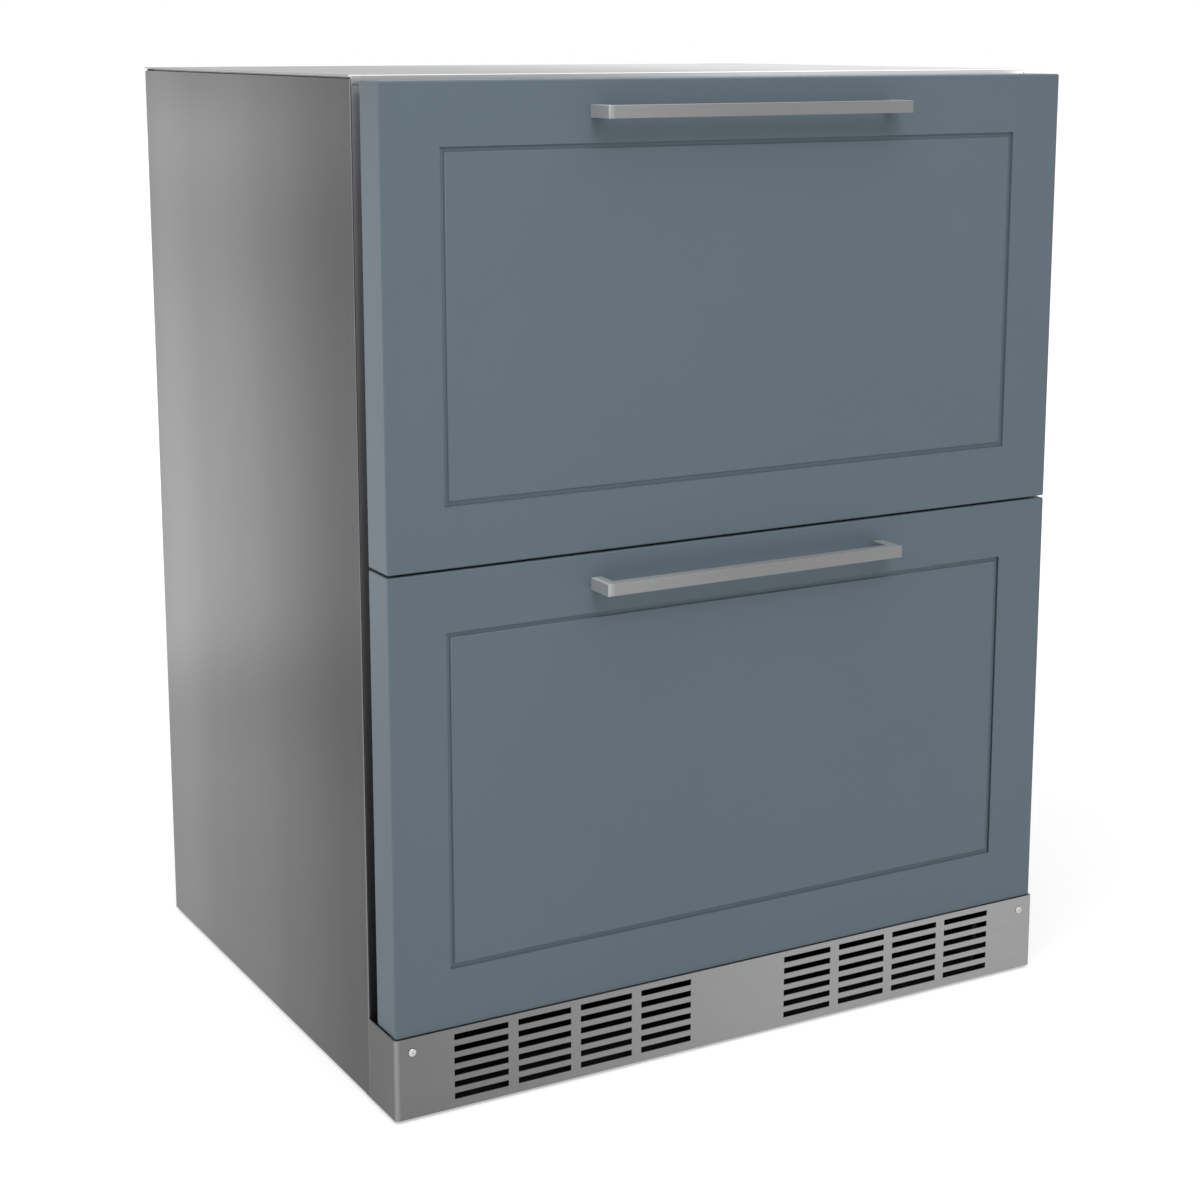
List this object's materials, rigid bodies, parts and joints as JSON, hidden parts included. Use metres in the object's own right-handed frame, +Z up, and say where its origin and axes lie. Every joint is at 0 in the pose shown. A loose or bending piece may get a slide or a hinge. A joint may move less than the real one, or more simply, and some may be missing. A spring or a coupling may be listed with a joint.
{
  "type": "undercounter drawer refrigerator",
  "caption": "Undercounter refrigerator with stacked pull-out drawers behind framed blue-grey fronts with bar handles, in a stainless cabinet over a louvred kick grille.",
  "frame": {"origin": "centre of the footprint on the floor, under the middle of the whole box, handles included", "axes": "+Z up, the drawers open along -Y, +X to the right of someone who faces the drawer fronts"},
  "size_m": [0.686, 0.59, 0.876],
  "materials": {
    "cabinet_steel": "brushed stainless sheet, vertical grain, satin",
    "top_steel": "brushed stainless sheet, pale",
    "galvanised_steel": "zinc coated sheet with a faint spangle",
    "base_steel": "black powder coat on folded steel",
    "insulation": "rigid polyurethane foam, cream",
    "liner": "formed liner, white, satin gloss",
    "face_steel": "dark grey powder coat",
    "screw_steel": "bright zinc plate",
    "grille_steel": "brushed stainless sheet, horizontal grain",
    "leg": "moulded black foot on a threaded stem",
    "compressor_paint": "black enamel, semi gloss",
    "rubber": "matt black rubber",
    "coil": "black coated fins and tubes",
    "motor": "dark grey casing",
    "black_plastic": "moulded black plastic, fine texture",
    "copper": "drawn copper tube, slightly dulled",
    "fin_aluminium": "bare aluminium fins",
    "white_plastic": "moulded white plastic",
    "display": "smoked display window, gloss",
    "button": "silver grey push button",
    "lens": "opal lamp lens",
    "runner_steel": "bright zinc plated steel",
    "box_steel": "moulded light grey drawer tub",
    "core_plastic": "white inner door shell over foam",
    "gasket_rubber": "soft black magnetic gasket",
    "front_paint": "wood board under blue grey satin paint",
    "handle_nickel": "brushed nickel, fine grain along the bar"
  },
  "bodies": {
    "cabinet": {"side_panel_left": "cabinet_steel", "side_panel_right": "cabinet_steel", "top_panel": "top_steel", "back_panel": "galvanised_steel", "base_pan": "base_steel", "compartment_deck": "galvanised_steel", "foam_insulation": "insulation", "inner_liner": "liner", "face_frame": "face_steel", "centre_mullion": "face_steel", "rear_service_cover": "galvanised_steel", "cabinet_screws": "screw_steel", "kick_grille": "grille_steel", "compressor": "compressor_paint", "compressor_grommets": "rubber", "condenser_coil": "coil", "condenser_fan_bracket": "galvanised_steel", "condenser_fan_motor": "motor", "refrigerant_lines": "copper", "filter_drier": "copper", "drain_pan": "black_plastic", "evaporator_coil": "fin_aluminium", "evaporator_cover": "white_plastic", "evaporator_fan_motor": "motor", "control_housing": "black_plastic", "display_window": "display", "lamp_lens": "lens", "mains_gland": "rubber", "upper_cabinet_runner_left": "runner_steel", "upper_cabinet_runner_right": "runner_steel", "lower_cabinet_runner_left": "runner_steel", "lower_cabinet_runner_right": "runner_steel"},
    "upper_drawer": {"upper_drawer_runners": "runner_steel", "upper_drawer_box": "box_steel", "upper_front_core": "core_plastic", "upper_gasket": "gasket_rubber", "upper_panel_frame": "front_paint", "upper_panel_centre": "front_paint", "upper_handle": "handle_nickel", "upper_handle_screws": "screw_steel"},
    "lower_drawer": {"lower_drawer_runners": "runner_steel", "lower_drawer_box": "box_steel", "lower_front_core": "core_plastic", "lower_gasket": "gasket_rubber", "lower_panel_frame": "front_paint", "lower_panel_centre": "front_paint", "lower_handle": "handle_nickel", "lower_handle_screws": "screw_steel"},
    "upper_runner_middles": {"upper_middle_runners": "runner_steel"},
    "lower_runner_middles": {"lower_middle_runners": "runner_steel"},
    "condenser_fan": {"condenser_fan_blade": "black_plastic"},
    "evaporator_fan": {"evaporator_fan_blade": "white_plastic"},
    "power_button_body": {"power_button": "button"},
    "cooler_button_body": {"cooler_button": "button"},
    "warmer_button_body": {"warmer_button": "button"},
    "leg_front_left_body": {"leg_front_left": "leg"},
    "leg_front_right_body": {"leg_front_right": "leg"},
    "leg_rear_left_body": {"leg_rear_left": "leg"},
    "leg_rear_right_body": {"leg_rear_right": "leg"}
  },
  "joints": [
    {"name": "upper_drawer_slide", "type": "slide", "parent": "cabinet", "child": "upper_drawer", "axis": [0, -1, 0], "range_m": [0, 0.34]},
    {"name": "upper_runner_slide", "type": "slide", "parent": "cabinet", "child": "upper_runner_middles", "axis": [0, -1, 0], "range_m": [0, 0.17]},
    {"name": "lower_drawer_slide", "type": "slide", "parent": "cabinet", "child": "lower_drawer", "axis": [0, -1, 0], "range_m": [0, 0.23]},
    {"name": "lower_runner_slide", "type": "slide", "parent": "cabinet", "child": "lower_runner_middles", "axis": [0, -1, 0], "range_m": [0, 0.115]},
    {"name": "condenser_fan_spin", "type": "hinge", "parent": "cabinet", "child": "condenser_fan", "pos_m": [-0.1338, 0.1976, 0.118], "axis": [1, 0, 0], "continuous": true},
    {"name": "evaporator_fan_spin", "type": "hinge", "parent": "cabinet", "child": "evaporator_fan", "pos_m": [0, 0.1965, 0.69], "axis": [0, -1, 0], "continuous": true},
    {"name": "power_button_press", "type": "slide", "parent": "cabinet", "child": "power_button_body", "axis": [0, 1, 0], "range_m": [0, 0.001], "stiffness_N_per_m": 800, "springref_m": -0.0005},
    {"name": "cooler_button_press", "type": "slide", "parent": "cabinet", "child": "cooler_button_body", "axis": [0, 1, 0], "range_m": [0, 0.001], "stiffness_N_per_m": 800, "springref_m": -0.0005},
    {"name": "warmer_button_press", "type": "slide", "parent": "cabinet", "child": "warmer_button_body", "axis": [0, 1, 0], "range_m": [0, 0.001], "stiffness_N_per_m": 800, "springref_m": -0.0005},
    {"name": "leg_front_left_screw_out", "type": "slide", "parent": "cabinet", "child": "leg_front_left_body", "axis": [0, 0, -1], "range_m": [0, 0.02]},
    {"name": "leg_front_right_screw_out", "type": "slide", "parent": "cabinet", "child": "leg_front_right_body", "axis": [0, 0, -1], "range_m": [0, 0.02]},
    {"name": "leg_rear_left_screw_out", "type": "slide", "parent": "cabinet", "child": "leg_rear_left_body", "axis": [0, 0, -1], "range_m": [0, 0.02]},
    {"name": "leg_rear_right_screw_out", "type": "slide", "parent": "cabinet", "child": "leg_rear_right_body", "axis": [0, 0, -1], "range_m": [0, 0.02]}
  ],
  "couplings": [
    {"joint": "upper_runner_slide", "follows": "upper_drawer_slide", "ratio": 0.5},
    {"joint": "lower_runner_slide", "follows": "lower_drawer_slide", "ratio": 0.5}
  ]
}
